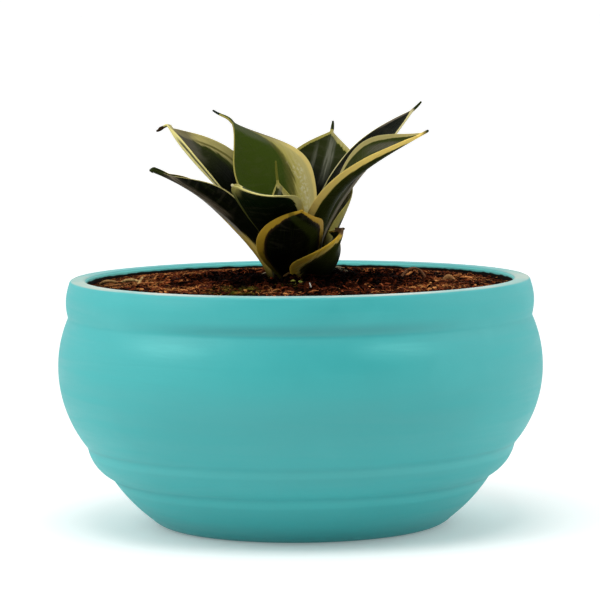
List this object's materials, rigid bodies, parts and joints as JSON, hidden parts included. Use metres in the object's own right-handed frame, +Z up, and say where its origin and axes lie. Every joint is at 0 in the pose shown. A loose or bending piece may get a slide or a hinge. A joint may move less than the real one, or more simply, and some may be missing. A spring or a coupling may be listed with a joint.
{
  "type": "potted snake plant",
  "caption": "Dwarf golden snake plant rosette growing in coir in a matte turquoise bowl planter with a stepped foot.",
  "frame": {"origin": "middle of the pot's flat foot, on the surface it stands on", "axes": "+Z up, out of the pot's mouth; -Y towards the viewer of the picture; +X to the right of the picture"},
  "size_m": [0.2364, 0.2364, 0.2042],
  "materials": {
    "painted_clay": "matte paint over fired clay",
    "coir_mix": "loose and fibrous, matte",
    "rootstock": "dry and matte",
    "leaf": "waxy, half matte"
  },
  "bodies": {
    "root": {"pot": "painted_clay", "soil": "coir_mix", "crown": "rootstock", "leaf_young_spear": "leaf", "leaf_tall_back": "leaf", "leaf_front_left": "leaf", "leaf_right_back": "leaf", "leaf_left_back": "leaf", "leaf_right_long": "leaf", "leaf_back": "leaf", "leaf_left_low": "leaf", "leaf_right_short": "leaf", "leaf_front_short": "leaf", "leaf_front_torn": "leaf"}
  },
  "joints": []
}
